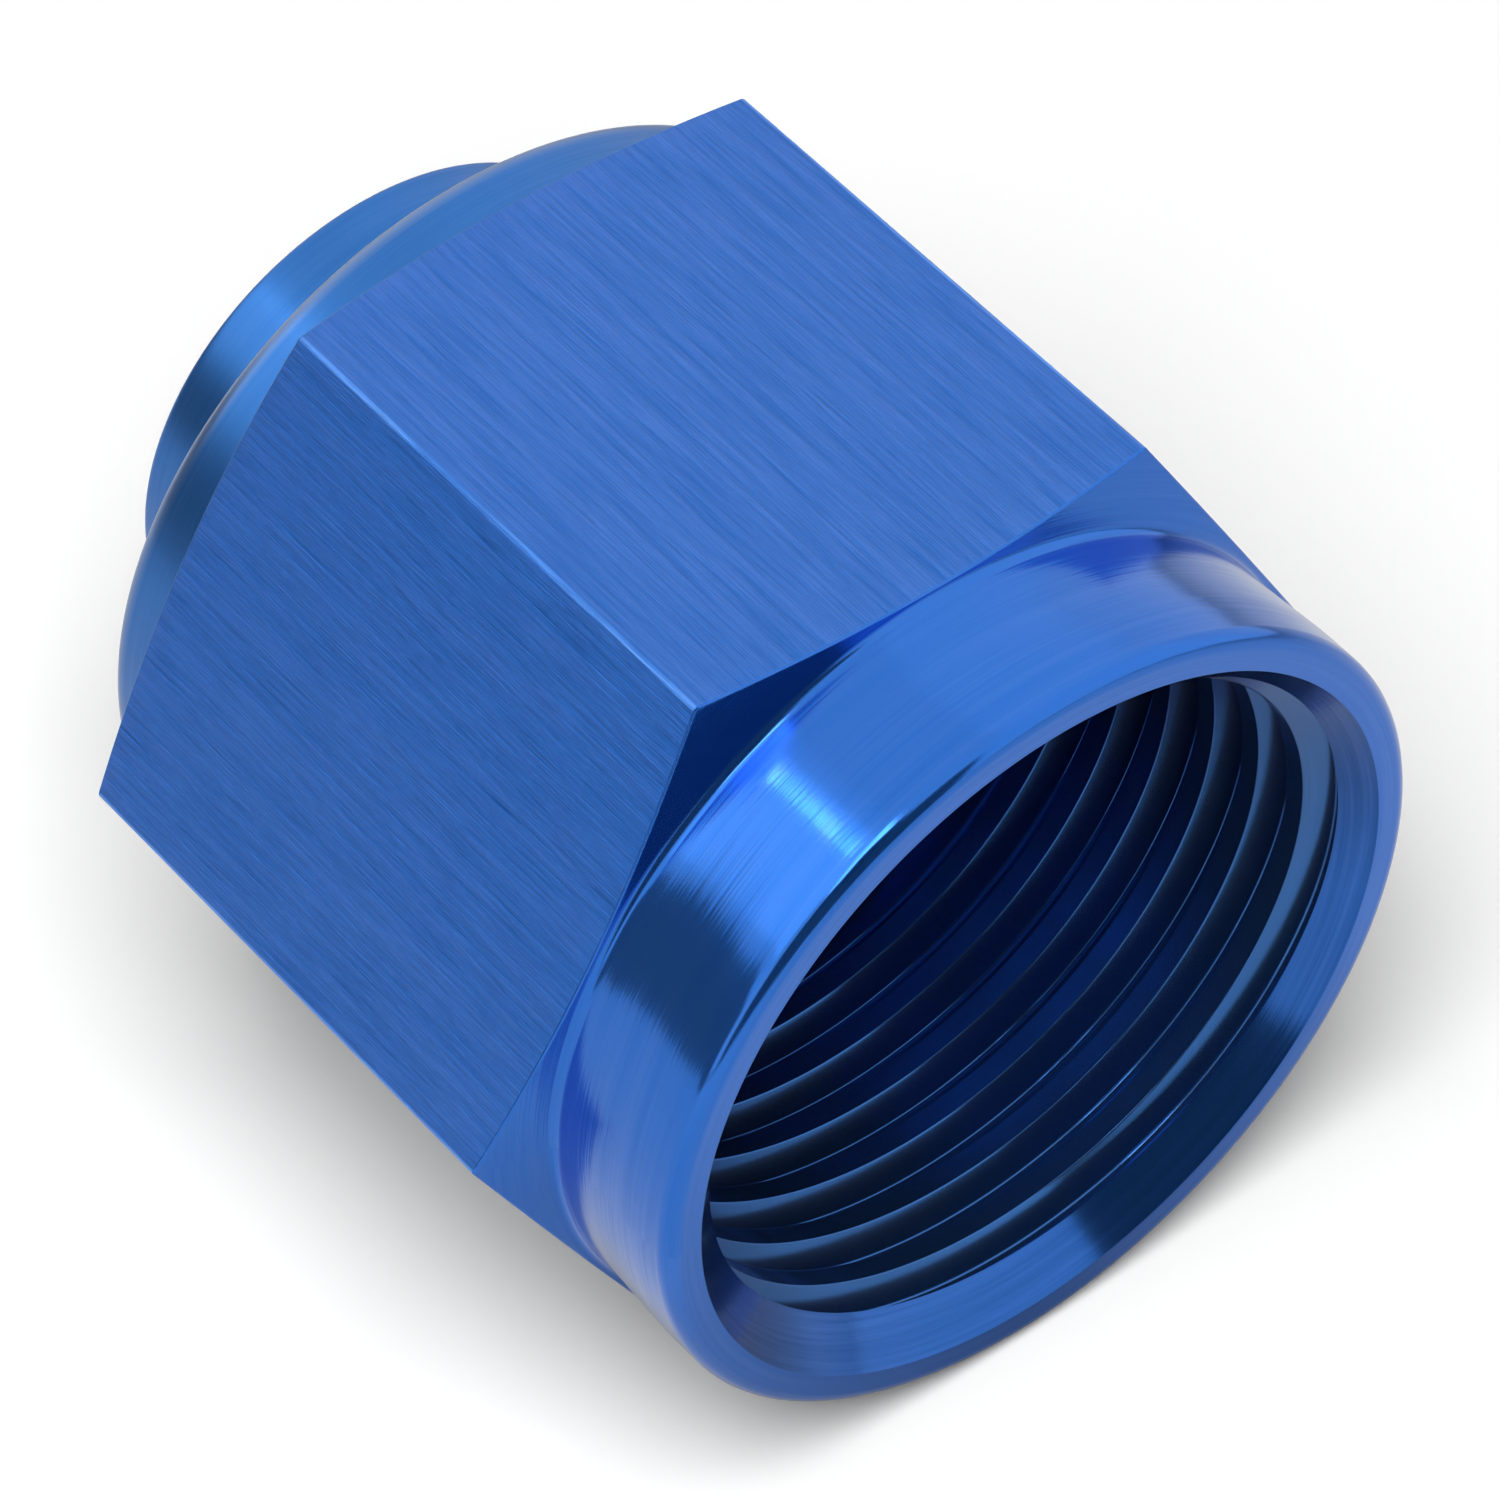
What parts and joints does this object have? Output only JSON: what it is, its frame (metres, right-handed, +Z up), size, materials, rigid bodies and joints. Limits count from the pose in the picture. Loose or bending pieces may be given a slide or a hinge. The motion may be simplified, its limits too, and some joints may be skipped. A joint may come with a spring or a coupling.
{
  "type": "threaded protection cap",
  "caption": "Blind hexagon cap nut with an internal fine thread and a cone seat, to close and protect a threaded tube end.",
  "frame": {"origin": "on the ground under the middle of the cap, as it lies on one flat of its hexagon", "axes": "+X along the cap's axis, out of its open mouth; +Z up, square to the flat it lies on; +Y to the left looking out of the mouth"},
  "size_m": [0.0292, 0.0292, 0.0254],
  "materials": {
    "blue_anodised_aluminium": "satin blue anodised, drawn along the flats and turned round the collar, the shoulder and the stub"
  },
  "bodies": {
    "root": {"cap_body": "blue_anodised_aluminium"}
  },
  "joints": []
}
